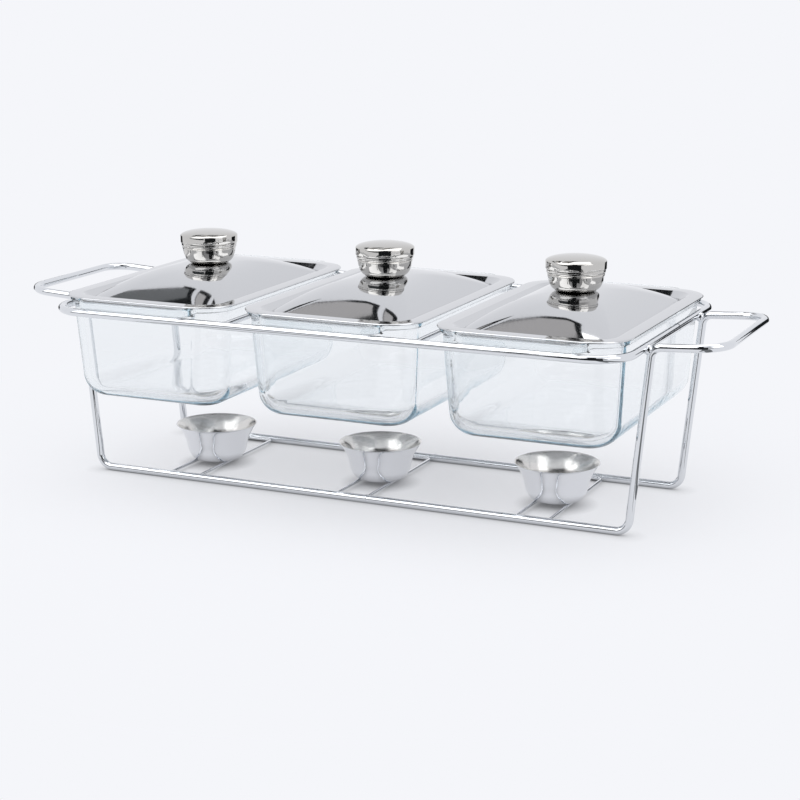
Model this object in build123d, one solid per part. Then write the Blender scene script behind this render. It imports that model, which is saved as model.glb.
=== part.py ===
from build123d import *
import math
import os

# Table-top food warmer: a wire stand that carries three lidded glass dishes over three burner cups.
# Millimetres. X runs along the row of dishes, Y from front to back, Z up from the table.

# Glass dishes
dish_half_x = 79.5      # outside of the wall at the rim
dish_half_y = 127.5
dish_depth = 93.0
dish_draft = 3.7        # degrees
dish_bottom_r = 21.0
dish_corner_step = 7.0  # the upright corners are this much rounder than the bottom edge
dish_wall = 6.0
dish_floor = 6.5
rim_overhang = 2.5
rim_height = 5.0
rim_round = 1.6
lug_width = 113.0       # lugs at both ends, which hang on the ring
lug_past_ring = 1.5
lug_height = 7.5
lug_corner_r = 15.0
lug_round = 2.4
seat_gap = 0.3          # under loose pieces that stand on round wire

# Pressed steel lids
lid_sheet = 0.8
lid_overhang = 2.0      # beyond the glass rim
lid_clear = 1.0         # between the locating channel and the glass
lid_gap = 12.0          # between neighbouring lids
channel_drop = 5.0
channel_run = 8.0
dome_rise = 21.0        # from the foot of the channel to the crown
dome_bulge = 2.1        # 1 would be a straight slope
dome_round = 0.92       # corner radius of the crown, as a share of its half width
dome_levels = (0, 0.2, 0.45, 0.75, 1)
crown_margin = 0.5      # flat middle around the knob's base
crown_stretch = 11.0    # the flat middle is this much longer from front to back

# Knobs: a pressed cap on a pressed bowl, with a threaded bush inside
knob_wall = 1.0
knob_base_r = 14.5
knob_flare = 10.4       # from the base out to the bowl's edge
knob_bowl_height = 15.0
knob_turn_out = 0.66    # where the bowl's side turns up, as shares of its flare and height
knob_turn_up = 0.25
knob_edge_lean = 0.25
knob_band_step = 0.6
knob_band_height = 6.0
knob_cap_step = 1.5     # beyond the bowl's edge
knob_cap_edge = 2.0
knob_cap_rise = 8.0
bush_wall = 3.0
bush_height = 10.0

# Screw and washer under each lid
screw_d = 4.0
screw_clear = 0.2       # on the radius, where the shank passes through
thread_clear = 0.05
screw_spare = 2.0       # the screw ends this far below the top of the bush
head_height = 2.4
slot_width = 1.0
slot_depth = 1.1
slot_margin = 1.2       # from the ends of the cross slot to the head's edge
washer_step = 2.0       # beyond the head
washer_height = 1.0

# Burner cups: a flat floor, a round heel, a steep side and a flared lip
cup_y = -10.5           # where the cups stand between the rails
cup_sheet = 0.8
cup_floor_r = 20.0
cup_heel_run = 6.0
cup_heel_height = 5.5
cup_side_run = 4.2
cup_side_height = 14.5
cup_lip_run = 7.8
cup_lip_height = 13.0
cup_lip_slope = 1.05
flame_room = 41.0       # from a cup's rim to the dish over it

# Stand wire
wire_d = 7.0            # ring, legs, bottom rails and grips
ring_clear_x = 3.5      # from the dishes' walls to the ring
ring_clear_y = 8.0
ring_bend_r = 33.0
leg_y = 76.0            # legs, bottom rails and grip rods, out from the middle plane
leg_splay = 10.0        # the feet stand this far inside the ring's ends
foot_bend_r = 12.0
grip_reach = 65.5       # from the ring's end to the grip's end rod
grip_root_rise = 1.0    # above the ring's centreline
grip_tip_rise = 4.0
grip_root_r = 9.0
grip_bend_r = 24.0
rail_joint_x = 17.0     # where the two leg frames are butted together
weld_gap = 0.2
weld_bead = 1.3         # beyond the wire's radius

# Cross wires
divider_d = 5.0
rest_d = 3.0
rest_inset = 10.0       # the cups stand this much closer together than the dishes
rest_margin = 5.0       # the rods run this far inside the edge of the cups' floors
rest_bend_r = 6.0

# Sizes and places that follow
dish_corner_r = dish_bottom_r + dish_corner_step
lid_half_x = dish_half_x + rim_overhang + lid_overhang
lid_half_y = dish_half_y + rim_overhang + lid_overhang
dish_pitch = 2 * lid_half_x + lid_gap
ring_half_x = dish_pitch + dish_half_x + ring_clear_x + wire_d / 2
ring_half_y = dish_half_y + ring_clear_y + wire_d / 2
lug_reach = ring_clear_y + wire_d + lug_past_ring
foot_x = ring_half_x - leg_splay
grip_x = ring_half_x + grip_reach
rest_pitch = dish_pitch - rest_inset
rest_half_gap = cup_floor_r - rest_margin
crown_half_x = knob_base_r + crown_margin
crown_half_y = crown_half_x + crown_stretch
knob_bowl_r = knob_base_r + knob_flare
screw_hole_r = screw_d / 2 + screw_clear
head_r = screw_d

# Heights that follow
rail_z = wire_d / 2
rest_top = rail_z + rest_d / 2 + seat_gap
cup_height = cup_heel_height + cup_side_height + cup_lip_height
rim_z = rest_top + cup_height + flame_room + dish_depth
lug_z = rim_z - lug_height
ring_z = lug_z - seat_gap - wire_d / 2
crown_z = rim_z + lid_sheet - channel_drop + dome_rise

arch_share = 0.5523     # of a cubic curve that follows a quarter ellipse
sections = {"left": -1, "middle": 0, "right": 1}
upwards = (Align.CENTER, Align.CENTER, Align.MIN)
downwards = (Align.CENTER, Align.CENTER, Align.MAX)


def round_bar(path, diameter):
    section = Plane(origin=path @ 0, z_dir=path % 0) * Circle(diameter / 2)
    return sweep(section, path=path)


def rounded_plate(half_x, half_y, corner_r, z):
    return Pos(0, 0, z) * RectangleRounded(2 * half_x, 2 * half_y, corner_r)


def collar(outer_r, inner_r, height, align):
    return Cylinder(outer_r, height, align=align) - Cylinder(inner_r, height, align=align)


def turned(outline):
    return revolve(Plane.XZ * make_face(outline), Axis.Z)


# Stand


def top_ring():
    outline = rounded_plate(ring_half_x, ring_half_y, ring_bend_r, ring_z)
    return round_bar(outline.wire(), wire_d)


def bend_centre():
    # Middle of the bend at a leg's head, seen along Y: the bend just clears the ring's end rail.
    drop = grip_root_r - grip_root_rise
    reach = grip_root_r + wire_d + weld_gap
    return ring_half_x + math.sqrt(reach**2 - drop**2), ring_z - drop


def leg_head():
    # Corner where the leg and the grip would meet: both run at a tangent to the bend.
    bend_x, bend_z = bend_centre()
    tip_z = ring_z + grip_tip_rise
    from_foot = math.hypot(bend_x - foot_x, bend_z - rail_z)
    lean = math.atan2(bend_x - foot_x, bend_z - rail_z) - math.asin(grip_root_r / from_foot)
    from_tip = math.hypot(grip_x - bend_x, tip_z - bend_z)
    climb = math.atan2(tip_z - bend_z, grip_x - bend_x) - math.asin(grip_root_r / from_tip)
    rise = tip_z - rail_z - (grip_x - foot_x) * math.tan(climb)
    length = rise / (math.cos(lean) - math.sin(lean) * math.tan(climb))
    return foot_x + length * math.sin(lean), rail_z + length * math.cos(lean)


def leg_frame(side):
    head_x, head_z = leg_head()
    front = [
        (rail_joint_x, -leg_y, rail_z),
        (side * foot_x, -leg_y, rail_z),
        (side * head_x, -leg_y, head_z),
        (side * grip_x, -leg_y, ring_z + grip_tip_rise),
    ]
    back = [(x, -y, z) for x, y, z in reversed(front)]
    bends = [foot_bend_r, grip_root_r, grip_bend_r]
    path = FilletPolyline(*front, *back, radius=bends + bends[::-1])
    return round_bar(path, wire_d)


def leg_weld(side_x, side_y, wires):
    # A bead that fills the notch between a leg's head and the ring.
    bend_x, bend_z = bend_centre()
    share = wire_d / 2 / math.hypot(bend_x - ring_half_x, bend_z - ring_z)
    x = side_x * (ring_half_x + share * (bend_x - ring_half_x))
    z = ring_z + share * (bend_z - ring_z)
    return Pos(x, side_y * leg_y, z) * Sphere(wire_d / 2 + weld_bead) - wires


def divider_bar(side, ring):
    bar = Cylinder(divider_d / 2, 2 * ring_half_y, rotation=(90, 0, 0))
    return Pos(side * dish_pitch / 2, 0, ring_z) * bar - ring


def cup_rest(place, frames):
    # A hairpin whose closed end lies along the back rail.
    back_y = leg_y - wire_d / 2 - rest_d / 2
    left_x = place * rest_pitch - rest_half_gap
    right_x = place * rest_pitch + rest_half_gap
    corners = [
        (left_x, -leg_y, rail_z),
        (left_x, back_y, rail_z),
        (right_x, back_y, rail_z),
        (right_x, -leg_y, rail_z),
    ]
    return round_bar(FilletPolyline(*corners, radius=rest_bend_r), rest_d) - frames


# Glass dish, about its own middle


def tapered_block(inset, depth):
    # The dish's outside, or its inside when it is set in by the wall.
    shrink = depth * math.tan(math.radians(dish_draft))
    half_x = dish_half_x - inset
    half_y = dish_half_y - inset
    corner_r = dish_corner_r - inset
    top = rounded_plate(half_x, half_y, corner_r, rim_z)
    foot = rounded_plate(half_x - shrink, half_y - shrink, corner_r, rim_z - depth)
    block = loft([top, foot], ruled=True)
    bottom_edges = block.faces().sort_by(Axis.Z)[0].edges()
    return fillet(bottom_edges, dish_bottom_r - inset)


def glass_dish():
    rim = rounded_plate(
        dish_half_x + rim_overhang,
        dish_half_y + rim_overhang,
        dish_corner_r + rim_overhang,
        rim_z - rim_height,
    )
    rim = extrude(rim, rim_height)
    rim = fillet(rim.faces().sort_by(Axis.Z)[0].edges(), rim_round)
    lugs = rounded_plate(lug_width / 2, dish_half_y + lug_reach, lug_corner_r, lug_z)
    lugs = extrude(lugs, lug_height)
    lugs = fillet(lugs.faces().sort_by(Axis.Z)[-1].edges(), lug_round)
    lugs = fillet(lugs.faces().sort_by(Axis.Z)[0].edges(), rim_round)
    return tapered_block(0, dish_depth) + rim + lugs - tapered_block(dish_wall, dish_depth - dish_floor)


# Lid, about its own middle


def dome_outline(inward, mouth_x, mouth_y, mouth_r):
    # Level line of the dome, from its foot in the channel (0) to the flat crown (1).
    half_x = (1 - inward) * (mouth_x - channel_run) + inward * crown_half_x
    half_y = (1 - inward) * (mouth_y - channel_run) + inward * crown_half_y
    corner_r = (1 - inward) * (mouth_r - channel_run / 2) + inward * dome_round * half_x
    below_crown = dome_rise * (1 - inward) ** dome_bulge
    return rounded_plate(half_x, half_y, corner_r, crown_z - below_crown)


def lid_form():
    # Everything under the lid's upper face: flange, channel and domed middle.
    flange_z = rim_z + lid_sheet
    base_z = flange_z - 2 * channel_drop    # anywhere below the channel's floor
    flange_r = dish_corner_r + rim_overhang + lid_overhang
    mouth_x = dish_half_x - dish_wall - lid_clear
    mouth_y = dish_half_y - dish_wall - lid_clear
    mouth_r = dish_corner_r - dish_wall - lid_clear
    slab = extrude(rounded_plate(lid_half_x, lid_half_y, flange_r, base_z), flange_z - base_z)
    foot = dome_outline(0, mouth_x, mouth_y, mouth_r)
    pocket = loft([foot, rounded_plate(mouth_x, mouth_y, mouth_r, flange_z)], ruled=True)
    dome = loft([dome_outline(inward, mouth_x, mouth_y, mouth_r) for inward in dome_levels])
    return slab - pocket + dome


def pressed_lid():
    form = lid_form()
    hole = Pos(0, 0, crown_z) * Cylinder(screw_hole_r, 2 * dome_rise)
    return form - Pos(0, 0, -lid_sheet) * form - hole


# Knob, on the lid's crown


def knob_bowl():
    side_z = knob_turn_up * knob_bowl_height
    side_r = knob_base_r + knob_turn_out * knob_flare
    inner_r = knob_bowl_r - knob_wall
    ends = [(1, 0), (knob_edge_lean, 1)]
    outside = Spline(
        [(knob_base_r, 0), (side_r, side_z), (knob_bowl_r, knob_bowl_height)],
        tangents=ends,
    )
    inside = Spline(
        [(knob_base_r, knob_wall), (side_r - knob_wall, side_z + knob_wall), (inner_r, knob_bowl_height)],
        tangents=ends,
    )
    shell = turned(
        [
            Line((screw_hole_r, 0), (knob_base_r, 0)),
            outside,
            Line((knob_bowl_r, knob_bowl_height), (inner_r, knob_bowl_height)),
            inside,
            Line((knob_base_r, knob_wall), (screw_hole_r, knob_wall)),
            Line((screw_hole_r, knob_wall), (screw_hole_r, 0)),
        ]
    )
    band = collar(knob_bowl_r + knob_band_step, inner_r, knob_band_height, upwards)
    return Pos(0, 0, crown_z) * (shell + Pos(0, 0, knob_bowl_height) * band)


def cap_arch(radius, edge_z, rise):
    # A quarter of an ellipse, from the cap's edge up to its middle.
    top_z = edge_z + rise
    side_z = edge_z + arch_share * rise
    return Bezier((radius, edge_z), (radius, side_z), (arch_share * radius, top_z), (0, top_z))


def knob_cap():
    # Seated on the bowl's band.
    low_z = knob_bowl_height + knob_band_height
    edge_z = low_z + knob_cap_edge
    top_z = edge_z + knob_cap_rise
    outer_r = knob_bowl_r + knob_cap_step
    cap = turned(
        [
            Line((knob_bowl_r, low_z), (outer_r, low_z)),
            Line((outer_r, low_z), (outer_r, edge_z)),
            cap_arch(outer_r, edge_z, knob_cap_rise),
            Line((0, top_z), (0, top_z - knob_wall)),
            cap_arch(knob_bowl_r, edge_z, knob_cap_rise - knob_wall),
            Line((knob_bowl_r, edge_z), (knob_bowl_r, low_z)),
        ]
    )
    return Pos(0, 0, crown_z) * cap


def knob_bush():
    bush = collar(screw_d / 2 + bush_wall, screw_d / 2, bush_height, upwards)
    return Pos(0, 0, crown_z + knob_wall) * bush


def lid_washer():
    washer = collar(head_r + washer_step, screw_hole_r, washer_height, downwards)
    return Pos(0, 0, crown_z - lid_sheet) * washer


def lid_screw():
    shank_length = washer_height + lid_sheet + knob_wall + bush_height - screw_spare
    shank = Cylinder(screw_d / 2 - thread_clear, shank_length, align=upwards)
    head = Cylinder(head_r, head_height, align=downwards)
    slot = Pos(0, 0, -head_height) * Box(slot_width, 2 * (head_r - slot_margin), 2 * slot_depth)
    screw = shank + head - slot - Rot(0, 0, 90) * slot
    return Pos(0, 0, crown_z - lid_sheet - washer_height) * screw


# Burner cup, on its rest


def burner_cup():
    heel_r = cup_floor_r + cup_heel_run
    side_r = heel_r + cup_side_run
    rim_r = side_r + cup_lip_run
    side_z = cup_heel_height + cup_side_height
    ends = [(1, 0), (1, cup_lip_slope)]
    outside = Spline(
        [(cup_floor_r, 0), (heel_r, cup_heel_height), (side_r, side_z), (rim_r, cup_height)],
        tangents=ends,
    )
    inside = Spline(
        [
            (cup_floor_r, cup_sheet),
            (heel_r - cup_sheet, cup_heel_height + cup_sheet / 2),
            (side_r - cup_sheet, side_z),
            (rim_r - cup_sheet, cup_height),
        ],
        tangents=ends,
    )
    cup = turned(
        [
            Line((0, 0), (cup_floor_r, 0)),
            outside,
            Line((rim_r, cup_height), (rim_r - cup_sheet, cup_height)),
            inside,
            Line((cup_floor_r, cup_sheet), (0, cup_sheet)),
            Line((0, cup_sheet), (0, 0)),
        ]
    )
    return Pos(0, cup_y, rest_top) * cup


# Assembly

ring = top_ring()
left_frame = leg_frame(-1)
right_frame = leg_frame(1)
frames = left_frame + right_frame
corners = [(-1, -1), (-1, 1), (1, -1), (1, 1)]

nodes = {
    "top_ring": ring,
    "leg_frame_left": left_frame,
    "leg_frame_right": right_frame,
    "leg_welds": Compound([leg_weld(x, y, frames + ring).solid() for x, y in corners]),
    "divider_bar_left": divider_bar(-1, ring),
    "divider_bar_right": divider_bar(1, ring),
}
for name, place in sections.items():
    over = Pos(place * dish_pitch, 0, 0)
    nodes["dish_" + name] = over * glass_dish()
    nodes["lid_" + name] = over * pressed_lid()
    nodes["knob_bowl_" + name] = over * knob_bowl()
    nodes["knob_cap_" + name] = over * knob_cap()
    nodes["knob_bush_" + name] = over * knob_bush()
    nodes["lid_washer_" + name] = over * lid_washer()
    nodes["lid_screw_" + name] = over * lid_screw()
    nodes["cup_rest_" + name] = cup_rest(place, frames)
    nodes["burner_cup_" + name] = Pos(place * rest_pitch, 0, 0) * burner_cup()

os.makedirs("parts", exist_ok=True)
for name, shape in nodes.items():
    export_step(shape, "parts/" + name + ".step")
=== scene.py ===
import math
import bmesh
import bpy
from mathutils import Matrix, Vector

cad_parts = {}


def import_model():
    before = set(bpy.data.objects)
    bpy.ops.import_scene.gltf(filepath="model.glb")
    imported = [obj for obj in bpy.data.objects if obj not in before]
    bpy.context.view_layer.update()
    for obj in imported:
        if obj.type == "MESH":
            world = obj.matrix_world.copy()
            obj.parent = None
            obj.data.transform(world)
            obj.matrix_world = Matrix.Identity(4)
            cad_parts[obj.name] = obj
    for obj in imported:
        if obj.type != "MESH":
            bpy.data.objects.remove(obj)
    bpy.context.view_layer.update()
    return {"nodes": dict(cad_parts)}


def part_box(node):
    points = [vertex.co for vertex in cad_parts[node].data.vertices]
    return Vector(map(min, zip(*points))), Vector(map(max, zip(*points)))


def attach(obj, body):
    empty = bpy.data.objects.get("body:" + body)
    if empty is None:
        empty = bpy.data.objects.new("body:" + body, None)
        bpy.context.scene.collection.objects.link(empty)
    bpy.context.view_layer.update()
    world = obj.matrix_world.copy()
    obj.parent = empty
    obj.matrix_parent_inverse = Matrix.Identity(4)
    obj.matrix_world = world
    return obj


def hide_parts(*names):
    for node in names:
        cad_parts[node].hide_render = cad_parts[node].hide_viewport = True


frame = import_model()
mm = 0.001
sections = {"left": -1, "middle": 0, "right": 1}
print("frame loaded:", len(frame["nodes"]), "nodes")


# Small helpers

def hexColour(code):  # sRGB hex to linear
    parts = [int(code[i:i + 2], 16) / 255 for i in (1, 3, 5)]
    return [c / 12.92 if c <= 0.04045 else ((c + 0.055) / 1.055) ** 2.4 for c in parts] + [1.0]


def addNode(tree, kind, inputs=None, **settings):
    node = tree.nodes.new(kind)
    for name, value in settings.items():
        setattr(node, name, value)
    for socket, value in (inputs or {}).items():
        if isinstance(value, bpy.types.NodeSocket):
            tree.links.new(value, node.inputs[socket])
        else:
            node.inputs[socket].default_value = value
    return node


def emptyMaterial(name):
    material = bpy.data.materials.new(name)
    material.use_nodes = True
    material.node_tree.nodes.clear()
    return material, material.node_tree


def steps(low, high, count):  # evenly spaced, both ends included
    return [low + (high - low) * i / (count - 1) for i in range(count)]


# Materials

noiseLow, noiseHigh = 0.3, 0.7  # a noise mostly keeps between these


def metal(name, look):
    # A grain drawn out along one direction and a broad smear vary the gloss, and the grain is felt as a faint bump.
    material, tree = emptyMaterial(name)
    place = addNode(tree, "ShaderNodeTexCoord").outputs[look["follows"]]
    grainScale = [1 / size for size in look["grainSize"]]
    grainPlace = addNode(tree, "ShaderNodeMapping", {"Vector": place, "Scale": grainScale})
    grain = addNode(tree, "ShaderNodeTexNoise",
                    {"Vector": grainPlace.outputs["Vector"], "Scale": 1.0, "Detail": 4.0})
    smear = addNode(tree, "ShaderNodeTexNoise", {"Vector": place, "Scale": 1 / look["smearSize"], "Detail": 3.0})
    both = addNode(tree, "ShaderNodeMix", {"Factor": look["grainShare"]}, data_type="FLOAT")
    tree.links.new(smear.outputs["Fac"], both.inputs["A"])
    tree.links.new(grain.outputs["Fac"], both.inputs["B"])
    rough = addNode(tree, "ShaderNodeMapRange", {
        "Value": both.outputs["Result"], "From Min": noiseLow, "From Max": noiseHigh,
        "To Min": look["roughLow"], "To Max": look["roughHigh"]})
    bump = addNode(tree, "ShaderNodeBump", {"Height": both.outputs["Result"], "Distance": look["depth"]})
    shader = addNode(tree, "ShaderNodeBsdfPrincipled", {
        "Base Color": hexColour(look["tint"]), "Metallic": 1.0,
        "Roughness": rough.outputs["Result"], "Normal": bump.outputs["Normal"]})
    addNode(tree, "ShaderNodeOutputMaterial", {"Surface": shader.outputs["BSDF"]})
    return material


# Bright chrome over drawn steel wire: a hard mirror, with the drawing's faint ripples and a few wiped smears
chromedWire = metal("chromedSteelWire", {
    "tint": "#DFE1E4", "follows": "Object", "grainSize": (6 * mm, 6 * mm, 6 * mm), "smearSize": 30 * mm,
    "grainShare": 0.35, "roughLow": 0.02, "roughHigh": 0.07, "depth": 0.03 * mm})

# Stainless sheet, pressed and buffed to a mirror: long buffing lines from front to back (drawn coarser than real)
lidSteel = metal("buffedStainlessSheet", {
    "tint": "#CFD0D2", "follows": "Object", "grainSize": (0.9 * mm, 60 * mm, 60 * mm), "smearSize": 45 * mm,
    "grainShare": 0.5, "roughLow": 0.035, "roughHigh": 0.085, "depth": 0.006 * mm})

# Stainless shells turned on a lathe and polished: a warmer, darker mirror with fine rings around the axis
knobSteel = metal("turnedStainlessSteel", {
    "tint": "#C8C6C2", "follows": "UV", "grainSize": (40 * mm, 0.7 * mm, 1.0), "smearSize": 25 * mm,
    "grainShare": 0.5, "roughLow": 0.03, "roughHigh": 0.09, "depth": 0.008 * mm})

# Spun stainless sheet: buffed outside, left satin inside, with rings around the cup that spread the highlights. The
# outside's tint is lighter than the steel's own, which is painted light from the bright floor it reflects
cupOutside = metal("buffedSpunStainlessPaintedLight", {
    "tint": "#E7E8EB", "follows": "UV", "grainSize": (60 * mm, 0.8 * mm, 1.0), "smearSize": 30 * mm,
    "grainShare": 0.6, "roughLow": 0.07, "roughHigh": 0.15, "depth": 0.008 * mm})
cupInside = metal("satinSpunStainless", {
    "tint": "#DFDDDA", "follows": "UV", "grainSize": (60 * mm, 0.8 * mm, 1.0), "smearSize": 20 * mm,
    "grainShare": 0.6, "roughLow": 0.15, "roughHigh": 0.25, "depth": 0.012 * mm})

# Zinc-plated machine steel: slightly dull, with tool marks
fastenerSteel = metal("platedMachineSteel", {
    "tint": "#BFC1C4", "follows": "Object", "grainSize": (0.6 * mm, 0.6 * mm, 2 * mm), "smearSize": 6 * mm,
    "grainShare": 0.5, "roughLow": 0.18, "roughHigh": 0.32, "depth": 0.01 * mm})


def pressedGlass():
    # Clear borosilicate glass from a press mould: a fire-polished skin with slow ripples, and a blue-green depth
    look = {"tint": "#FEFEFE", "depthTint": "#7FBCD0", "density": 5.5, "rippleSize": 32 * mm, "rippleDepth": 0.12 * mm,
            "roughLow": 0.0, "roughHigh": 0.012, "ior": 1.47}
    material, tree = emptyMaterial("pressedClearGlass")
    place = addNode(tree, "ShaderNodeTexCoord").outputs["Object"]
    ripple = addNode(tree, "ShaderNodeTexNoise", {"Vector": place, "Scale": 1 / look["rippleSize"], "Detail": 1.0})
    rough = addNode(tree, "ShaderNodeMapRange", {
        "Value": ripple.outputs["Fac"], "To Min": look["roughLow"], "To Max": look["roughHigh"]})
    bump = addNode(tree, "ShaderNodeBump", {"Height": ripple.outputs["Fac"], "Distance": look["rippleDepth"]})
    shader = addNode(tree, "ShaderNodeBsdfPrincipled", {
        "Base Color": hexColour(look["tint"]), "Transmission Weight": 1.0, "IOR": look["ior"],
        "Roughness": rough.outputs["Result"], "Normal": bump.outputs["Normal"]})
    depth = addNode(tree, "ShaderNodeVolumeAbsorption", {
        "Color": hexColour(look["depthTint"]), "Density": look["density"]})
    addNode(tree, "ShaderNodeOutputMaterial", {"Surface": shader.outputs["BSDF"], "Volume": depth.outputs["Volume"]})
    return material


clearGlass = pressedGlass()
print("materials made")


# Meshes

def addPiece(mesh, body, slotName, *nodes):
    piece = bpy.data.objects.new(mesh.name, mesh)
    bpy.context.scene.collection.objects.link(piece)
    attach(piece, body)
    if nodes:
        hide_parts(*nodes)


def skinned(name, loops, material, joinEnds=False, rowUv=None):
    # Quads between neighbouring loops of equal length. The two end loops are joined, or each is closed by a flat face.
    count = len(loops[0])
    rows = len(loops)
    faces = []
    for row in range(rows if joinEnds else rows - 1):
        here, there = row * count, (row + 1) % rows * count
        faces += [(here + i, here + (i + 1) % count, there + (i + 1) % count, there + i) for i in range(count)]
    if not joinEnds:
        faces += [tuple(reversed(range(count))), tuple(range((rows - 1) * count, rows * count))]
    mesh = bpy.data.meshes.new(name)
    mesh.from_pydata([point for loop in loops for point in loop], [], faces)
    mesh.materials.append(material)
    if rowUv:
        uv = mesh.uv_layers.new(name="surface")
        for face in mesh.polygons:
            wraps = len({v % count for v in face.vertices} & {0, count - 1}) == 2 and len(face.vertices) == 4
            for corner in face.loop_indices:
                vertex = mesh.loops[corner].vertex_index
                turn = vertex % count
                around = (turn + (count if wraps and turn == 0 else 0)) / count
                uv.data[corner].uv = (around * rowUv["around"], rowUv["along"][vertex // count])
    work = bmesh.new()
    work.from_mesh(mesh)
    bmesh.ops.recalc_face_normals(work, faces=work.faces)
    work.to_mesh(mesh)
    work.free()
    mesh.polygons.foreach_set("use_smooth", [True] * len(mesh.polygons))
    return mesh


turnedSides = 128  # faces around a turned piece


def turned(name, profile, centre, material, joinEnds=False):
    # A profile of (radius, height) turned about an upright axis, with a UV map in metres for its rings.
    along = [0.0]
    for before, after in zip(profile, profile[1:]):
        along.append(along[-1] + math.dist(before, after))
    turns = [2 * math.pi * i / turnedSides for i in range(turnedSides)]
    loops = []
    for radius, height in profile:
        loops.append([(centre[0] + radius * math.cos(a), centre[1] + radius * math.sin(a), centre[2] + height)
                      for a in turns])
    around = 2 * math.pi * max(radius for radius, height in profile)
    return skinned(name, loops, material, joinEnds, {"around": around, "along": along})


def fourfold(quarter):
    # A quarter outline, from the middle of the front to the middle of the right side, mirrored to a whole loop.
    loop = list(quarter)
    loop += [(x, -y, z) for x, y, z in reversed(quarter[:-1])]
    loop += [(-x, -y, z) for x, y, z in quarter[1:]]
    loop += [(-x, y, z) for x, y, z in reversed(quarter[1:-1])]
    return loop


def quarterPoint(station, halfX, halfY, cornerR):
    run, value = station
    if run == "front":  # value is a share of the straight run
        return value * (halfX - cornerR), -halfY
    if run == "side":
        return halfX, -(1 - value) * (halfY - cornerR)
    return halfX - cornerR + cornerR * math.sin(value), -(halfY - cornerR) - cornerR * math.cos(value)


def curveThrough(points, tangentStart, tangentEnd, perSpan):
    # Smooth curve through a few profile points, with given end directions.
    tangents = [Vector(tangentStart).normalized()]
    tangents += [(Vector(c) - Vector(a)).normalized() for a, c in zip(points, points[2:])]
    tangents.append(Vector(tangentEnd).normalized())
    curve = [tuple(points[0])]
    for i in range(len(points) - 1):
        a, b = Vector(points[i]), Vector(points[i + 1])
        reach = (b - a).length
        for k in range(1, perSpan + 1):
            t = k / perSpan
            h00, h10 = 2 * t**3 - 3 * t**2 + 1, t**3 - 2 * t**2 + t
            h01, h11 = -2 * t**3 + 3 * t**2, t**3 - t**2
            curve.append(tuple(h00 * a + h10 * reach * tangents[i] + h01 * b + h11 * reach * tangents[i + 1]))
    return curve


def eased(before, corner, after, reach, count):
    # A crease of a profile, rounded over a reach on both sides.
    before, corner, after = Vector(before), Vector(corner), Vector(after)
    start = corner + (before - corner).normalized() * reach
    end = corner + (after - corner).normalized() * reach
    return [tuple((1 - t) ** 2 * start + 2 * t * (1 - t) * corner + t * t * end) for t in steps(0, 1, count)]


# Glass dishes

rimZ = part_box("dish_middle")[1].z
dish = {
    "halfX": 79.5 * mm, "halfY": 127.5 * mm, "cornerR": 28 * mm, "depth": 93 * mm, "draft": math.radians(3.7),
    "bottomR": 21 * mm, "wall": 6 * mm, "floor": 6.5 * mm, "pitch": 180 * mm,
    "rimOut": 2.5 * mm, "rimHeight": 5 * mm, "rimRound": 1.6 * mm,
    "lugHalf": 56.5 * mm, "lugOut": 16.5 * mm, "lugHeight": 7.5 * mm, "lugCornerR": 15 * mm, "lugRound": 2.4 * mm,
    "lugRootR": 4.5 * mm, "mouthRound": 1.2 * mm, "underRound": 0.5 * mm,
    "rootLead": 1 / 7,  # where the lug's root starts on the wall's corner, as a share of where it ends
    "wallTop": 2.2,  # the wall's first ring, in lug heights below the rim
    "topRing": 0.3,  # a ring on the flat top, as a share of the wall
    "bottomEase": 0.4, "bottomIn": 12 * mm, "bottomRound": 0.5,  # two rings on the flat bottom
    "lugSteps": 9, "lugCornerSteps": 8, "rootSteps": 8, "cornerSteps": 14, "sideSteps": 10,  # around the dish
    "wallSteps": 8, "bottomSteps": 13, "mouthSteps": 5, "edgeSteps": 6, "underSteps": 4,  # along its section
}


def dishStations():
    # Places around a quarter of the dish: on the wall (station), and on the outline of rim and lug, with its height.
    d = dish
    straightX = d["halfX"] - d["cornerR"]
    rimR = d["cornerR"] + d["rimOut"]
    lugY = d["halfY"] + d["lugOut"]
    lugFlat = d["lugHalf"] - d["lugCornerR"]
    table = []
    for x in steps(0, lugFlat, d["lugSteps"]):
        table.append((("front", x / straightX), (x, -lugY), 1.0))
    for share in steps(0, 1, d["lugCornerSteps"])[1:]:
        turn = share * math.pi / 2
        x = lugFlat + d["lugCornerR"] * math.sin(turn)
        y = -(lugY - d["lugCornerR"]) - d["lugCornerR"] * math.cos(turn)
        table.append((("front", (lugFlat + share * (straightX - lugFlat)) / straightX), (x, y), 1.0))
    rootTurn = math.asin((d["lugHalf"] + d["lugRootR"] - straightX) / rimR)
    rootEnd = Vector((straightX + rimR * math.sin(rootTurn), -(d["halfY"] - d["cornerR"]) - rimR * math.cos(rootTurn)))
    rootStart = Vector((d["lugHalf"], rootEnd.y - d["lugRootR"]))
    rootCorner = Vector((d["lugHalf"], rootEnd.y))
    for t in steps(0, 1, d["rootSteps"]):
        point = (1 - t) ** 2 * rootStart + 2 * t * (1 - t) * rootCorner + t * t * rootEnd
        onWall = rootTurn * (d["rootLead"] + (1 - d["rootLead"]) * t)
        table.append((("corner", onWall), (point.x, point.y), 1 - t * t * (3 - 2 * t)))
    for turn in steps(rootTurn, math.pi / 2, d["cornerSteps"])[1:]:
        x = straightX + rimR * math.sin(turn)
        y = -(d["halfY"] - d["cornerR"]) - rimR * math.cos(turn)
        table.append((("corner", turn), (x, y), 0.0))
    for share in steps(0, 1, d["sideSteps"])[1:]:
        y = -(1 - share) * (d["halfY"] - d["cornerR"])
        table.append((("side", share), (d["halfX"] + d["rimOut"], y), 0.0))
    return table


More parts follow.
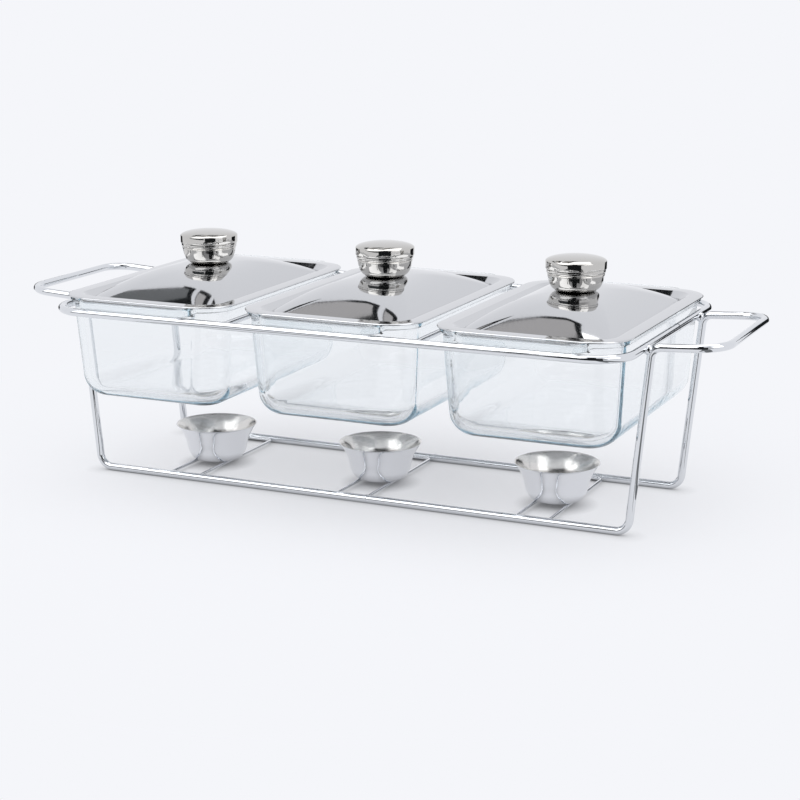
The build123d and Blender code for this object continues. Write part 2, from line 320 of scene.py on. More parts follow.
def dishMesh(name, x):
    d = dish
    table = dishStations()
    loops = []

    def wallLoop(inset, cornerR, heights):
        quarter = [quarterPoint(row[0], d["halfX"] - inset, d["halfY"] - inset, cornerR) for row in table]
        loops.append(fourfold([(p[0], p[1], z) for p, z in zip(quarter, heights)]))

    def level(z):
        return [z] * len(table)

    def side(inset, depth, bottomR, downwards):
        # Drafted wall and rounded bottom edge, from the mouth to the flat bottom or back up.
        cornerR = d["cornerR"] - inset
        bottomZ = rimZ - depth
        startZ = bottomZ + bottomR * (1 - math.sin(d["draft"]))
        startIn = (rimZ - startZ) * math.tan(d["draft"])
        rings = []
        for z in steps(rimZ - d["wallTop"] * d["lugHeight"], startZ, d["wallSteps"])[:-1]:
            rings.append(((rimZ - z) * math.tan(d["draft"]), cornerR, z))
        for turn in steps(d["draft"], math.pi / 2, d["bottomSteps"]):
            further = bottomR * (math.cos(d["draft"]) - math.cos(turn))
            rings.append((startIn + further, cornerR - further, bottomZ + bottomR * (1 - math.sin(turn))))
        flatIn, flatR, flatZ = rings[-1]
        rings.append((flatIn + d["bottomEase"] * flatR, (1 - d["bottomEase"]) * flatR, flatZ))
        rings.append((flatIn + d["bottomIn"], d["bottomRound"] * flatR, flatZ))
        for more, ringR, z in rings if downwards else reversed(rings):
            wallLoop(inset + more, ringR, level(z))

    outline = [Vector(row[1]) for row in table]
    normals = []
    for i in range(len(outline)):
        along = outline[min(i + 1, len(outline) - 1)] - outline[max(i - 1, 0)]
        normals.append(Vector((along.y, -along.x)).normalized())
    normals[0], normals[-1] = Vector((0, -1)), Vector((1, 0))
    lugShare = [row[2] for row in table]
    topR = [d["rimRound"] + s * (d["lugRound"] - d["rimRound"]) for s in lugShare]
    under = [d["rimHeight"] + s * (d["lugHeight"] - d["rimHeight"]) for s in lugShare]

    def edgeLoop(insets, heights):
        quarter = [p - n * i for p, n, i in zip(outline, normals, insets)]
        loops.append(fourfold([(p.x, p.y, z) for p, z in zip(quarter, heights)]))

    side(d["wall"], d["depth"] - d["floor"], d["bottomR"] - d["wall"], False)
    for turn in steps(0, math.pi / 2, d["mouthSteps"]):
        inset = d["wall"] - d["mouthRound"] * (1 - math.cos(turn))
        wallLoop(inset, d["cornerR"] - inset, level(rimZ - d["mouthRound"] * (1 - math.sin(turn))))
    topIn = d["topRing"] * d["wall"]
    wallLoop(topIn, d["cornerR"] - topIn, level(rimZ))
    for turn in steps(0, math.pi / 2, d["edgeSteps"]):
        edgeLoop([r * (1 - math.sin(turn)) for r in topR], [rimZ - r * (1 - math.cos(turn)) for r in topR])
    for turn in steps(0, math.pi / 2, d["edgeSteps"]):
        drop = d["rimRound"] * (1 - math.sin(turn))
        edgeLoop([d["rimRound"] * (1 - math.cos(turn))] * len(table), [rimZ - h + drop for h in under])
    rootR = d["underRound"]
    for turn in steps(0, math.pi / 2, d["underSteps"]):
        out = rootR * (1 - math.sin(turn)) - d["lugHeight"] * math.tan(d["draft"])
        wallLoop(-out, d["cornerR"], [rimZ - h - rootR * (1 - math.cos(turn)) for h in under])
    side(0.0, d["depth"], d["bottomR"], True)
    loops = [[(p[0] + x, p[1], p[2]) for p in loop] for loop in loops]
    return skinned(name, loops, clearGlass)


for name, place in sections.items():
    mesh = dishMesh("glassDish_" + name, place * dish["pitch"])
    addPiece(mesh, "dish_" + name, "clear glass", "dish_" + name)
print("glass dishes made")


# Lids

lid = {
    "sheet": 0.8 * mm, "overhang": 4.5 * mm, "mouthIn": 7 * mm, "channelDrop": 5 * mm, "channelRun": 8 * mm,
    "domeRise": 21 * mm, "domeBulge": 2.1, "crownX": 15 * mm, "crownY": 26 * mm, "crownRound": 0.92,
    "mouthEase": 2.2 * mm, "footEase": 1.6 * mm, "hemDrop": 0.9 * mm, "hemRound": 1.2 * mm,
    "crownMiddle": (0.2, 0.2, 0.19), "crownInner": (0.8, 0.85, 0.74),  # rings on the flat crown, as shares of it
    "domeRings": 40, "footSteps": 5, "mouthSteps": 6, "hemSteps": 5,
    "frontSteps": 14, "cornerSteps": 18, "sideSteps": 18,
}
flangeZ = rimZ + lid["sheet"]
crownZ = flangeZ - lid["channelDrop"] + lid["domeRise"]


def lidProfile():
    # Level lines of the upper face, each (half length in X, in Y, corner radius, height), from the crown outwards.
    mouth = (dish["halfX"] - lid["mouthIn"], dish["halfY"] - lid["mouthIn"], dish["cornerR"] - lid["mouthIn"], flangeZ)
    run = lid["channelRun"]
    rings = []
    for inward in steps(1, 0, lid["domeRings"]):
        halfX = (1 - inward) * (mouth[0] - run) + inward * lid["crownX"]
        halfY = (1 - inward) * (mouth[1] - run) + inward * lid["crownY"]
        cornerR = (1 - inward) * (mouth[2] - run / 2) + inward * lid["crownRound"] * halfX
        rings.append((halfX, halfY, cornerR, crownZ - lid["domeRise"] * (1 - inward) ** lid["domeBulge"]))
    edge = (dish["halfX"] + lid["overhang"], dish["halfY"] + lid["overhang"], dish["cornerR"] + lid["overhang"])
    foot = rings.pop()
    middle = [share * lid["crownX"] for share in lid["crownMiddle"]] + [crownZ]
    shareX, shareY, shareR = lid["crownInner"]
    inner = (shareX * lid["crownX"], shareY * lid["crownY"], shareR * lid["crownX"], crownZ)
    hem = lid["hemRound"]
    flat = (edge[0] - hem, edge[1] - hem, edge[2] - hem, flangeZ)
    profile = [middle, inner] + rings
    profile += eased(rings[-1], foot, mouth, lid["footEase"], lid["footSteps"])
    profile += eased(foot, mouth, flat, lid["mouthEase"], lid["mouthSteps"])
    for turn in steps(0, math.pi / 2, lid["hemSteps"]):
        back = hem * (1 - math.sin(turn))
        z = flangeZ - lid["hemDrop"] * (1 - math.cos(turn))
        profile.append((edge[0] - back, edge[1] - back, edge[2] - back, z))
    return profile


def lidMesh(name, x):
    stations = [("front", t) for t in steps(0, 1, lid["frontSteps"])]
    stations += [("corner", turn) for turn in steps(0, math.pi / 2, lid["cornerSteps"])[1:]]
    stations += [("side", t) for t in steps(0, 1, lid["sideSteps"])[1:]]
    top = lidProfile()
    under = [(a, b, r, z - lid["sheet"]) for a, b, r, z in reversed(top[:-1])]
    loops = []
    for halfX, halfY, cornerR, z in top + under:
        quarter = [quarterPoint(station, halfX, halfY, cornerR) for station in stations]
        loops.append([(p[0] + x, p[1], p[2]) for p in fourfold([(px, py, z) for px, py in quarter])])
    return skinned(name, loops, lidSteel, joinEnds=True)


for name, place in sections.items():
    mesh = lidMesh("pressedLid_" + name, place * dish["pitch"])
    addPiece(mesh, "lid_" + name, "polished lid steel", "lid_" + name)
print("lids made")


# Knobs

knob = {
    "baseR": 14.5 * mm, "turnR": 21.4 * mm, "turnZ": 3.75 * mm, "bowlR": 24.9 * mm, "bowlZ": 15 * mm, "wall": 1 * mm,
    "grooveDepth": 0.7 * mm, "grooveWidth": 0.9 * mm, "bandR": 25.6 * mm, "bandZ": 21 * mm,
    "capR": 26.4 * mm, "capEdge": 4.6 * mm, "capRise": 5.4 * mm, "capSkirt": 1.7 * mm, "holeR": 2.2 * mm,
    "baseRing": 0.6, "grooveFloor": (0.3, 0.7),  # shares of the base and of the groove's width
    "bowlLean": (0.25, 1),  # the bowl's direction at its edge
    "bandFoot": ((0.5 * mm, 1.0), (0.2 * mm, 1.5)),  # in from the band, and up in groove widths
    "bandHead": ((0.0, 0.9 * mm), (0.5 * mm, 0.3 * mm), (0.9 * mm, 0.0)),  # in from the band, and down from its top
    "capFit": 0.05 * mm,  # between the band and the cap
    "skirtFoot": ((0.35 * mm, 0.0), (0.1 * mm, 0.2 * mm), (0.0, 0.6 * mm)),  # in from the cap, and up
    "domeTurn": 0.485 * math.pi, "hollowTurn": 0.48 * math.pi,  # up to the small flat face in the middle
    "bowlSteps": 10, "domeSteps": 26, "hollowSteps": 12,
}


def knobBowlProfile():
    k = knob
    curve = [(k["baseR"], 0.0), (k["turnR"], k["turnZ"]), (k["bowlR"], k["bowlZ"])]
    outside = [(k["holeR"], 0.0), (k["baseRing"] * k["baseR"], 0.0)]
    outside += curveThrough(curve, (1, 0), k["bowlLean"], k["bowlSteps"])
    neck = k["bowlR"] - k["grooveDepth"]
    low, high = k["bowlZ"], k["bandZ"]
    outside += [(neck, low + share * k["grooveWidth"]) for share in k["grooveFloor"]]
    outside += [(k["bandR"] - back, low + share * k["grooveWidth"]) for back, share in k["bandFoot"]]
    outside += [(k["bandR"], (low + high) / 2)]
    outside += [(k["bandR"] - back, high - down) for back, down in k["bandHead"]]
    inside = [(k["bowlR"] - k["wall"], high), (k["bowlR"] - k["wall"], low)]
    inside += [(k["turnR"] - k["wall"], k["turnZ"] + k["wall"]), (k["baseR"], k["wall"]), (k["holeR"], k["wall"])]
    return outside + inside


def knobCapProfile():
    k = knob
    low, edge = k["bandZ"], k["bandZ"] + k["capEdge"]
    inside = [(k["bowlR"] * math.cos(a), edge + (k["capRise"] - k["wall"]) * math.sin(a))
              for a in steps(k["hollowTurn"], 0, k["hollowSteps"])]
    # The cap's edge is pressed over the bowl's band.
    skirt, seat, fit = low - k["capSkirt"], low + k["capFit"], k["bandR"] + k["capFit"]
    rim = [(k["bowlR"], seat), (fit, seat), (fit, skirt)]
    rim += [(k["capR"] - back, skirt + up) for back, up in k["skirtFoot"]]
    dome = [(k["capR"] * math.cos(a), edge + k["capRise"] * math.sin(a))
            for a in steps(0, k["domeTurn"], k["domeSteps"])]
    return inside + rim + dome


for name, place in sections.items():
    centre = (place * dish["pitch"], 0, crownZ)
    bowl = turned("knobBowl_" + name, knobBowlProfile(), centre, knobSteel, joinEnds=True)
    addPiece(bowl, "lid_" + name, "polished knob steel", "knob_bowl_" + name)
    cap = turned("knobCap_" + name, knobCapProfile(), centre, knobSteel)
    addPiece(cap, "lid_" + name, "polished knob steel", "knob_cap_" + name)
print("knobs made")


# Burner cups

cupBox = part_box("burner_cup_middle")
cup = {
    "floorR": 20 * mm, "heelR": 26 * mm, "heelZ": 5.5 * mm, "sideR": 30.2 * mm, "sideZ": 20 * mm,
    "rimR": 38 * mm, "height": 33 * mm, "sheet": 0.8 * mm, "lipSlope": 1.05, "pitch": 170 * mm,
    "lipIn": 0.4 * mm, "lipDrop": 0.3 * mm, "lipRound": 0.15 * mm, "insideDrop": 0.1 * mm,
    "lipTop": 0.6, "lipInside": 1.3,  # in from the rim, in sheets
    "floorRings": (0.1, 0.85), "spanSteps": 9,  # rings on the floor, as shares of it
}


def cupProfile():
    c = cup
    sheet, rimR, top = c["sheet"], c["rimR"], c["height"]
    rows = [(c["floorR"], 0.0), (c["heelR"], c["heelZ"]), (c["sideR"], c["sideZ"])]
    rows += [(rimR - c["lipIn"], top - c["lipDrop"])]
    outside = curveThrough(rows, (1, 0), (1, c["lipSlope"]), c["spanSteps"])
    rows = [(c["floorR"], sheet), (c["heelR"] - sheet, c["heelZ"] + sheet / 2), (c["sideR"] - sheet, c["sideZ"])]
    rows += [(rimR - c["lipInside"] * sheet, top - c["insideDrop"])]
    inside = curveThrough(rows, (1, 0), (1, c["lipSlope"]), c["spanSteps"])
    lip = [(rimR, top - c["lipRound"]), (rimR - c["lipRound"], top), (rimR - c["lipTop"] * sheet, top)]
    floorRadii = [share * c["floorR"] for share in c["floorRings"]]
    floor = [(radius, 0.0) for radius in floorRadii]
    well = [(radius, sheet) for radius in reversed(floorRadii)]
    return floor + outside + lip + inside[::-1] + well


insideRow = len(cupProfile()) // 2 + 1  # from here on, a row of faces lies inside the cup
for name, place in sections.items():
    centre = (place * cup["pitch"], (cupBox[0].y + cupBox[1].y) / 2, cupBox[0].z)
    mesh = turned("burnerCup_" + name, cupProfile(), centre, cupOutside)
    mesh.materials.append(cupInside)
    for face in mesh.polygons:
        face.material_index = int(face.index // turnedSides >= insideRow)
    addPiece(mesh, "cup_" + name, "satin cup steel", "burner_cup_" + name)
print("burner cups made")


# Stand wires, bent along their paths

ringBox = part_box("top_ring")
wire = {
    "diameter": ringBox[1].z - ringBox[0].z, "ringBend": 33 * mm, "legY": 76 * mm, "splay": 10 * mm,
    "footBend": 12 * mm, "gripReach": 65.5 * mm, "gripRootRise": 1 * mm, "gripTipRise": 4 * mm, "rootBend": 9 * mm,
    "gripBend": 24 * mm, "jointX": 17 * mm, "weldGap": 0.2 * mm,
    "dividerD": 5 * mm, "restD": 3 * mm, "restHalfGap": 15 * mm, "restBend": 6 * mm, "buttEnd": 1 * mm,
    "sides": 40, "bendSteps": 14,
}
ringX = ringBox[1].x - wire["diameter"] / 2
ringY = ringBox[1].y - wire["diameter"] / 2
ringZ = (ringBox[0].z + ringBox[1].z) / 2
railZ = wire["diameter"] / 2


def emptyTree(name, sizes):
    # A node tree that takes a path or points, its named sizes and a material.
    tree = bpy.data.node_groups.new(name, "GeometryNodeTree")
    for title, kind in {"Geometry": "Geometry", **sizes, "Material": "Material"}.items():
        tree.interface.new_socket(title, in_out="INPUT", socket_type="NodeSocket" + kind)
    tree.interface.new_socket("Geometry", in_out="OUTPUT", socket_type="NodeSocketGeometry")
    return tree, addNode(tree, "NodeGroupInput").outputs


def bentWireTree():
    # Round wire along a path, with a bend radius stored at each corner of the path.
    tree, given = emptyTree("bentWire", {"Wire Diameter": "Float", "Sides": "Int", "Bend Steps": "Int"})
    path = addNode(tree, "GeometryNodeMeshToCurve", {"Mesh": given["Geometry"]})
    bend = addNode(tree, "GeometryNodeInputNamedAttribute", {"Name": "bendRadius"}, data_type="FLOAT")
    bent = addNode(tree, "GeometryNodeFilletCurve", {
        "Curve": path.outputs["Curve"], "Count": given["Bend Steps"], "Radius": bend.outputs["Attribute"]}, mode="POLY")
    half = addNode(tree, "ShaderNodeMath", {0: given["Wire Diameter"], 1: 0.5}, operation="MULTIPLY")
    section = addNode(tree, "GeometryNodeCurvePrimitiveCircle", {
        "Resolution": given["Sides"], "Radius": half.outputs[0]})
    bar = addNode(tree, "GeometryNodeCurveToMesh", {
        "Curve": bent.outputs["Curve"], "Profile Curve": section.outputs["Curve"], "Fill Caps": True})
    real = addNode(tree, "GeometryNodeRealizeInstances", {"Geometry": bar.outputs["Mesh"]})
    finish = addNode(tree, "GeometryNodeSetMaterial", {
        "Geometry": real.outputs["Geometry"], "Material": given["Material"]})
    addNode(tree, "NodeGroupOutput", {"Geometry": finish.outputs["Geometry"]})
    return tree


def grown(name, tree, points, edges, attribute, values, settings):
    # Runs a node tree on a few points and gives its result as a plain mesh.
    mesh = bpy.data.meshes.new(name + "Path")
    mesh.from_pydata(points, edges, [])
    mesh.attributes.new(attribute, "FLOAT", "POINT").data.foreach_set("value", values)
    host = bpy.data.objects.new(name + "Path", mesh)
    bpy.context.scene.collection.objects.link(host)
    modifier = host.modifiers.new(tree.name, "NODES")
    modifier.node_group = tree
    for item in tree.interface.items_tree:
        if item.in_out == "INPUT" and item.name in settings:
            modifier[item.identifier] = settings[item.name]
    shape = host.evaluated_get(bpy.context.evaluated_depsgraph_get())
    result = bpy.data.meshes.new_from_object(shape)
    result.name = name
    bpy.data.objects.remove(host)
    result.polygons.foreach_set("use_smooth", [len(face.vertices) <= 4 for face in result.polygons])
    return result


bentWire = bentWireTree()


def addWire(name, diameter, corners, bends, closed, *nodes):
    count = len(corners)
    edges = [(i, (i + 1) % count) for i in range(count if closed else count - 1)]
    settings = {"Wire Diameter": diameter, "Sides": wire["sides"], "Bend Steps": wire["bendSteps"],
                "Material": chromedWire}
    mesh = grown(name, bentWire, corners, edges, "bendRadius", bends, settings)
    addPiece(mesh, "stand", "chromed wire", *nodes)


def bendCentre():  # of the bend at a leg's head, seen from the front
    drop = wire["rootBend"] - wire["gripRootRise"]
    reach = wire["rootBend"] + wire["diameter"] + wire["weldGap"]
    return ringX + math.sqrt(reach**2 - drop**2), ringZ - drop


def legCorners(side):
    # Half a leg frame, from the butt joint in the bottom rail to the grip's corner.
    footX = ringX - wire["splay"]
    gripX = ringX + wire["gripReach"]
    tipZ = ringZ + wire["gripTipRise"]
    bendX, bendZ = bendCentre()
    fromFoot = math.hypot(bendX - footX, bendZ - railZ)
    lean = math.atan2(bendX - footX, bendZ - railZ) - math.asin(wire["rootBend"] / fromFoot)
    fromTip = math.hypot(gripX - bendX, tipZ - bendZ)
    climb = math.atan2(tipZ - bendZ, gripX - bendX) - math.asin(wire["rootBend"] / fromTip)
    length = (tipZ - railZ - (gripX - footX) * math.tan(climb)) / (math.cos(lean) - math.sin(lean) * math.tan(climb))
    head = (side * (footX + length * math.sin(lean)), -wire["legY"], railZ + length * math.cos(lean))
    return [(wire["jointX"], -wire["legY"], railZ), (side * footX, -wire["legY"], railZ), head,
            (side * gripX, -wire["legY"], tipZ)]


corners = [(-ringX, -ringY, ringZ), (ringX, -ringY, ringZ), (ringX, ringY, ringZ), (-ringX, ringY, ringZ)]
addWire("topRingWire", wire["diameter"], corners, [wire["ringBend"]] * 4, True, "top_ring")
for name, side in (("left", -1), ("right", 1)):
    front = legCorners(side)
    corners = front + [(x, -y, z) for x, y, z in reversed(front)]
    bends = [0.0, wire["footBend"], wire["rootBend"], wire["gripBend"]]
    addWire("legFrameWire_" + name, wire["diameter"], corners, bends + bends[::-1], False, "leg_frame_" + name)
    end = ringY - wire["diameter"] / 2 + wire["buttEnd"]
    x = side * dish["pitch"] / 2
    addWire("dividerWire_" + name, wire["dividerD"], [(x, -end, ringZ), (x, end, ringZ)], [0.0, 0.0], False,
            "divider_bar_" + name)
for name, place in sections.items():
    low = place * cup["pitch"] - wire["restHalfGap"]
    high = place * cup["pitch"] + wire["restHalfGap"]
    frontY = -wire["legY"] + wire["diameter"] / 2 - wire["buttEnd"]
    backY = wire["legY"] - wire["diameter"] / 2 - wire["restD"] / 2
    corners = [(low, frontY, railZ), (low, backY, railZ), (high, backY, railZ), (high, frontY, railZ)]
    addWire("cupRestWire_" + name, wire["restD"], corners, [0.0, wire["restBend"], wire["restBend"], 0.0], False,
            "cup_rest_" + name)
print("stand wires made")


# Welds on the stand

weld = {
    "headR": 4.4 * mm, "dividerR": 3.0 * mm, "restR": 1.9 * mm, "lumpSize": 3 * mm, "lumpDepth": 0.9 * mm,
    "turn": 6.28, "seed": 4,  # each bead is turned at random
    "buttD": 7.5 * mm, "buttWidth": 1.1 * mm, "ringButtY": 14 * mm,
}


def weldBeadTree():
    # A lumpy bead at each point, with its radius stored there.
    tree, given = emptyTree("weldBeads", {"Lump Size": "Float", "Lump Depth": "Float", "Seed": "Int"})
    ball = addNode(tree, "GeometryNodeMeshIcoSphere", {"Radius": 1.0, "Subdivisions": 4})
    radius = addNode(tree, "GeometryNodeInputNamedAttribute", {"Name": "beadRadius"}, data_type="FLOAT")
    turn = addNode(tree, "FunctionNodeRandomValue", {"Max": [weld["turn"]] * 3, "Seed": given["Seed"]},
                   data_type="FLOAT_VECTOR")
    beads = addNode(tree, "GeometryNodeInstanceOnPoints", {
        "Points": given["Geometry"], "Instance": ball.outputs["Mesh"], "Rotation": turn.outputs["Value"],
        "Scale": radius.outputs["Attribute"]})
    real = addNode(tree, "GeometryNodeRealizeInstances", {"Geometry": beads.outputs["Instances"]})
    density = addNode(tree, "ShaderNodeMath", {0: 1.0, 1: given["Lump Size"]}, operation="DIVIDE")
    lumps = addNode(tree, "ShaderNodeTexNoise", {"Scale": density.outputs[0], "Detail": 1.0})
    centred = addNode(tree, "ShaderNodeMath", {0: lumps.outputs["Fac"], 1: 0.5}, operation="SUBTRACT")
    lift = addNode(tree, "ShaderNodeMath", {0: centred.outputs[0], 1: given["Lump Depth"]}, operation="MULTIPLY")
    normal = addNode(tree, "GeometryNodeInputNormal")
    offset = addNode(tree, "ShaderNodeVectorMath", {0: normal.outputs["Normal"], "Scale": lift.outputs[0]},
                     operation="SCALE")
    lumpy = addNode(tree, "GeometryNodeSetPosition", {
        "Geometry": real.outputs["Geometry"], "Offset": offset.outputs["Vector"]})
    finish = addNode(tree, "GeometryNodeSetMaterial", {
        "Geometry": lumpy.outputs["Geometry"], "Material": given["Material"]})
    addNode(tree, "NodeGroupOutput", {"Geometry": finish.outputs["Geometry"]})
    return tree


def weldPoints():
    bendX, bendZ = bendCentre()
    share = wire["diameter"] / 2 / math.hypot(bendX - ringX, bendZ - ringZ)
    headX = ringX + share * (bendX - ringX)
    headZ = ringZ + share * (bendZ - ringZ)
    spots = []
    for sideY in (-1, 1):
        for sideX in (-1, 1):
            spots.append(((sideX * headX, sideY * wire["legY"], headZ), weld["headR"]))
            spots.append(((sideX * dish["pitch"] / 2, sideY * (ringY - wire["diameter"] / 2), ringZ), weld["dividerR"]))
    for place in sections.values():
        for sideX in (-1, 1):
            x = place * cup["pitch"] + sideX * wire["restHalfGap"]
            spots.append(((x, -wire["legY"] + wire["diameter"] / 2, railZ), weld["restR"]))
            spots.append(((x - sideX * wire["restBend"], wire["legY"] - wire["diameter"] / 2, railZ), weld["restR"]))
    return spots


spots = weldPoints()
settings = {"Lump Size": weld["lumpSize"], "Lump Depth": weld["lumpDepth"], "Seed": weld["seed"],
            "Material": chromedWire}
mesh = grown("weldBeads", weldBeadTree(), [p for p, r in spots], [], "beadRadius", [r for p, r in spots], settings)
addPiece(mesh, "stand", "chromed wire", "leg_welds")
half = weld["buttWidth"] / 2
for name, y in (("front", -wire["legY"]), ("back", wire["legY"])):
    z = weld["buttD"] / 2  # stands proud of the rail everywhere but on the table
    corners = [(wire["jointX"] - half, y, z), (wire["jointX"] + half, y, z)]
    addWire("railButtWeld_" + name, weld["buttD"], corners, [0.0, 0.0], False)
corners = [(ringX, weld["ringButtY"] - half, ringZ), (ringX, weld["ringButtY"] + half, ringZ)]
addWire("ringButtWeld", weld["buttD"], corners, [0.0, 0.0], False)
print("welds made")


# Screws, washers and bushes keep their own solids

for name in sections:
    for node in ("lid_screw_", "lid_washer_", "knob_bush_"):
        solid = frame["nodes"][node + name]
        solid.data.materials.clear()
        solid.data.materials.append(fastenerSteel)
print("fasteners finished")


# Studio: pale floor, soft boxes and cards that only the metal sees

studio = {
    "paper": "#F5F6FA", "floorAlbedo": "#F2F3F6", "floorRough": 0.6, "floorHalf": 12.0,
    # the reach and strength of the painted contact shadow on the floor follow the glow's fade
    "floorGlow": 0.6, "fadeStart": 0.0, "fadeEnd": 0.6, "paintedShadowReach": 16 * mm, "paintedShadowDepth": 0.7,
    "ambient": 0.5, "ambientTint": "#F8FAFF", "cameraSide": (0.412, -0.911, 0), "cameraSideDim": 0.45,
    "dimStart": 0.3, "dimEnd": 0.9, "lampTarget": (0, 0, 0.12),
    "overhead": {"at": (-0.15, 0.15, 2.1), "size": (2.4, 1.8), "watts": 20},
    "left": {"at": (-0.9, -1.5, 1.5), "size": (1.8, 1.6), "watts": 13.5},
    "right": {"at": (1.7, -0.6, 1.2), "size": (1.2, 1.4), "watts": 7},
}


def softbox(name, at, size, watts):
    lamp = bpy.data.lights.new(name, "AREA")
    lamp.shape = "RECTANGLE"
    lamp.size, lamp.size_y = size
    lamp.energy = watts
    holder = bpy.data.objects.new(name, lamp)
    holder.location = at
    holder.rotation_euler = (Vector(studio["lampTarget"]) - Vector(at)).to_track_quat("-Z", "Y").to_euler()
    bpy.context.scene.collection.objects.link(holder)


for name in ("overhead", "left", "right"):
    softbox(name + "Softbox", **studio[name])


def floorMaterial():
    # A white acrylic table lit from below: it glows, keeps a soft shadow under the part, and fades into the backdrop;
    # its glow is cut by a painted contact shadow right under the wires and the cups
    material, tree = emptyMaterial("litWhiteTable")
    place = addNode(tree, "ShaderNodeTexCoord").outputs["Object"]
    distance = addNode(tree, "ShaderNodeVectorMath", {0: place}, operation="LENGTH")
    fade = addNode(tree, "ShaderNodeMapRange", {
        "Value": distance.outputs["Value"], "From Min": studio["fadeStart"], "From Max": studio["fadeEnd"],
        "To Min": studio["floorGlow"], "To Max": 1.0}, interpolation_type="SMOOTHSTEP")
    # Painted contact shadow: right under the wires and the cups the glow is darkened by ambient occlusion.
    paintedShadowAO = addNode(tree, "ShaderNodeAmbientOcclusion", {"Distance": studio["paintedShadowReach"]}, samples=8)
    glowAfterPaintedShadow = addNode(tree, "ShaderNodeMath", {0: paintedShadowAO.outputs["AO"], 1: studio["paintedShadowDepth"]},
                        operation="POWER")
    glow = addNode(tree, "ShaderNodeEmission", {
        "Color": hexColour(studio["paper"]), "Strength": glowAfterPaintedShadow.outputs[0]})
    paper = addNode(tree, "ShaderNodeBsdfPrincipled", {
        "Base Color": hexColour(studio["floorAlbedo"]), "Roughness": studio["floorRough"], "Specular IOR Level": 0.0})
    both = addNode(tree, "ShaderNodeMixShader", {0: fade.outputs["Result"], 1: paper.outputs["BSDF"],
                                                2: glow.outputs["Emission"]})
    addNode(tree, "ShaderNodeOutputMaterial", {"Surface": both.outputs["Shader"]})
    return material


def stagePlane(name, corners, material):
    mesh = bpy.data.meshes.new(name)
    mesh.from_pydata(corners, [], [tuple(range(len(corners)))])
    mesh.materials.append(material)
    plane = bpy.data.objects.new(name, mesh)
    bpy.context.scene.collection.objects.link(plane)
    return plane


far = studio["floorHalf"]
stagePlane("paperFloor", [(-far, -far, 0), (far, -far, 0), (far, far, 0), (-far, far, 0)], floorMaterial())


def world():
    scene = bpy.context.scene
    scene.world = bpy.data.worlds.new("paleStudio")
    scene.world.use_nodes = True
    tree = scene.world.node_tree
    tree.nodes.clear()
    path = addNode(tree, "ShaderNodeLightPath").outputs
    seen = addNode(tree, "ShaderNodeMath", {0: path["Is Camera Ray"], 1: path["Is Glossy Ray"]}, operation="MAXIMUM")
    seen = addNode(tree, "ShaderNodeMath", {0: seen.outputs[0], 1: path["Is Transmission Ray"]}, operation="MAXIMUM")
    light = addNode(tree, "ShaderNodeBackground", {
        "Color": hexColour(studio["ambientTint"]), "Strength": studio["ambient"]})
    # Polished metal sees a dimmer room on the camera's side; glass sees paper all round.
    outwards = addNode(tree, "ShaderNodeTexCoord").outputs["Generated"]
    towards = addNode(tree, "ShaderNodeVectorMath", {0: outwards, 1: studio["cameraSide"]}, operation="DOT_PRODUCT")
    dim = addNode(tree, "ShaderNodeMapRange", {
        "Value": towards.outputs["Value"], "From Min": studio["dimStart"], "From Max": studio["dimEnd"],
        "To Min": 0.0, "To Max": studio["cameraSideDim"]}, interpolation_type="SMOOTHSTEP")
    clear = addNode(tree, "ShaderNodeMath", {0: path["Transmission Depth"], 1: 0.5}, operation="LESS_THAN")
    mirror = addNode(tree, "ShaderNodeMath", {0: path["Is Glossy Ray"], 1: clear.outputs[0]}, operation="MULTIPLY")
    dimmed = addNode(tree, "ShaderNodeMath", {0: dim.outputs["Result"], 1: mirror.outputs[0]}, operation="MULTIPLY")
    level = addNode(tree, "ShaderNodeMath", {0: 1.0, 1: dimmed.outputs[0]}, operation="SUBTRACT")
    paper = addNode(tree, "ShaderNodeBackground", {
        "Color": hexColour(studio["paper"]), "Strength": level.outputs[0]})
    both = addNode(tree, "ShaderNodeMixShader", {0: seen.outputs[0], 1: light.outputs["Background"],
                                                2: paper.outputs["Background"]})
    addNode(tree, "ShaderNodeOutputWorld", {"Surface": both.outputs["Shader"]})


world()


def cardMaterial(name, tint):
    # Plain card, which isn't there for light that has come through glass
    material, tree = emptyMaterial(name)
    path = addNode(tree, "ShaderNodeLightPath").outputs
    throughGlass = addNode(tree, "ShaderNodeMath", {0: path["Transmission Depth"], 1: 0.5}, operation="GREATER_THAN")
    card = addNode(tree, "ShaderNodeEmission", {"Color": hexColour(tint), "Strength": 1.0})
    clear = addNode(tree, "ShaderNodeBsdfTransparent")
    shader = addNode(tree, "ShaderNodeMixShader", {
        0: throughGlass.outputs[0], 1: card.outputs["Emission"], 2: clear.outputs["BSDF"]})
    addNode(tree, "ShaderNodeOutputMaterial", {"Surface": shader.outputs["Shader"]})
    return material


blackCard = cardMaterial("blackCard", "#1E2022")
slateCard = cardMaterial("slateCard", "#42474B")
smokeCard = cardMaterial("smokeCard", "#77797B")
greyCard = cardMaterial("greyCard", "#BFBDBD")


def addCard(name, start, across, up, material):
    # A flat card, seen only in polished metal: one corner and its two edges.
    start, across, up = Vector(start), Vector(across), Vector(up)
    corners = [start, start + across, start + across + up, start + up]
    card = stagePlane(name, [tuple(p) for p in corners], material)
    card.visible_camera = card.visible_diffuse = card.visible_transmission = card.visible_shadow = False


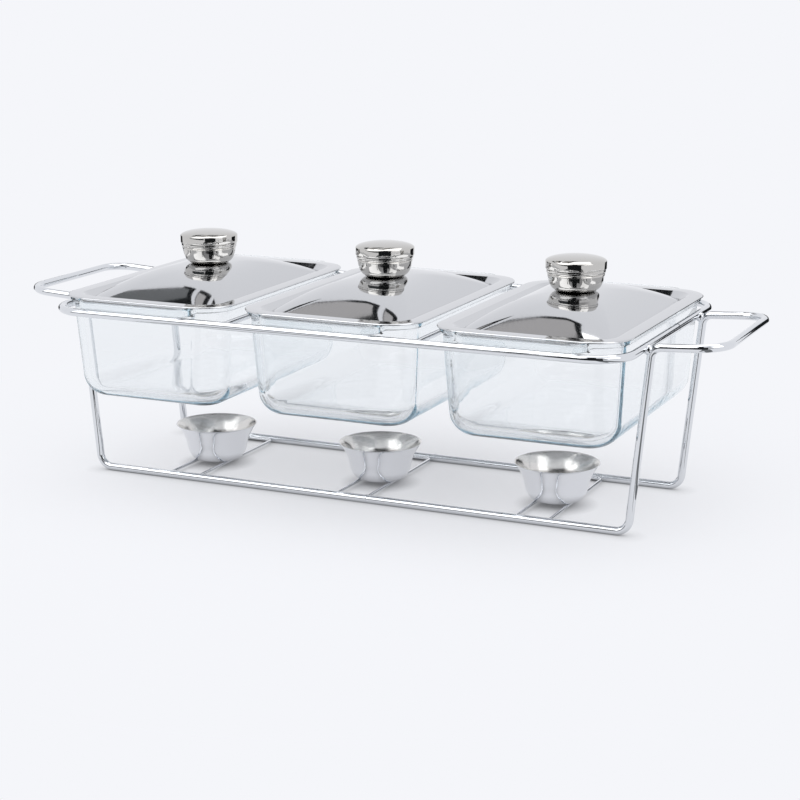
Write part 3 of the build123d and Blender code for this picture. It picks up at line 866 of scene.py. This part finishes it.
cards = {
    # The dark gap around the camera, between the soft boxes
    "cameraGap": ((0.0, -0.82, 0.0), (0.60, 0.28, 0), (0, 0, 0.5), blackCard),
    "cameraPost": ((0.22, -0.72, 0.5), (0.24, 0.11, 0), (0, 0, 0.7), blackCard),
    # A dark beam overhead in front
    "frontBeam": ((-1.6, -0.62, 1.45), (3.2, 0, 0), (0, 0.12, 0), blackCard),
    # The dark lower edge of the left soft box, and two of its posts
    "leftLowGap": ((-4.0, -2.6, 0.0), (4.2, 0, 0), (0, 0, 0.62), slateCard),
    "leftPost": ((-0.32, -1.5, 0.3), (0.06, 0, 0), (0, 0, 0.9), blackCard),
    "middlePost": ((-0.12, -1.5, 0.3), (0.05, 0, 0), (0, 0, 0.9), blackCard),
    # A dark strip far back on the right
    "backGap": ((0.72, 2.0, 0.28), (0.3, 0, 0), (0, 0, 0.34), slateCard),
    # Dark flags low behind on both sides, which give the metal its edges
    "leftFlag": ((-0.77, 0.61, 0.0), (-0.23, -0.38, 0), (0, 0, 0.26), blackCard),
    "rightFlag": ((0.55, 0.65, 0.0), (-0.40, 0.19, 0), (0, 0, 0.26), blackCard),
}
for name, card in cards.items():
    addCard(name, *card)

# Grey wedges on the floor between legs and camera, for the dark line along each leg
wedge = {"feet": ((0.29, -0.08), (0.29, 0.072), (-0.29, -0.08)), "above": 0.6 * mm, "gap": 0.02, "reach": 0.75,
         "spread": 0.13}
towardsCamera = Vector(studio["cameraSide"]).normalized()
sideways = Vector((-towardsCamera.y, towardsCamera.x, 0))
for x, y in wedge["feet"]:
    start = Vector((x, y, wedge["above"])) + wedge["gap"] * towardsCamera
    along = wedge["reach"] * towardsCamera
    for side in (-1, 1):
        addCard("legWedge", start, along, wedge["spread"] * side * sideways + along, smokeCard)

# Lamp housings overhead, each with a dark frame around a grey pane
housing = {
    "spans": ((-0.47, -0.18, greyCard), (-0.86, -0.57, greyCard), (-1.20, -0.95, smokeCard)),
    "frontY": 0.25, "height": 1.5, "depth": 0.95, "frame": 0.12, "paneIn": 0.02, "paneDrop": 0.01,
}
for left, right, pane in housing["spans"]:
    wide, deep, frontY = right - left, housing["depth"], housing["frontY"]
    addCard("housingFrame", (left, frontY, housing["height"]), (wide, 0, 0), (0, deep, 0), blackCard)
    addCard("housingPane", (left + housing["paneIn"], frontY, housing["height"] - housing["paneDrop"]),
            (wide - housing["frame"], 0, 0), (0, deep - housing["frame"], 0), pane)
print("studio made")


# Camera at the photograph's place

view = {"at": (0.7172, -1.5544, 0.4836), "target": (0.0147, 0.0, 0.0760), "lens": 87.17, "sensor": 36.0,
        "bounces": 40}
camera = bpy.data.cameras.new("photoCamera")
camera.lens = view["lens"]
camera.sensor_width = view["sensor"]
holder = bpy.data.objects.new("photoCamera", camera)
holder.location = view["at"]
holder.rotation_euler = (Vector(view["target"]) - Vector(view["at"])).to_track_quat("-Z", "Y").to_euler()
bpy.context.scene.collection.objects.link(holder)
bpy.context.scene.camera = holder
bpy.context.scene.view_settings.view_transform = "Standard"
paths = bpy.context.scene.cycles  # light goes round inside the glass edges many times before it leaves
paths.max_bounces = paths.glossy_bounces = paths.transmission_bounces = view["bounces"]
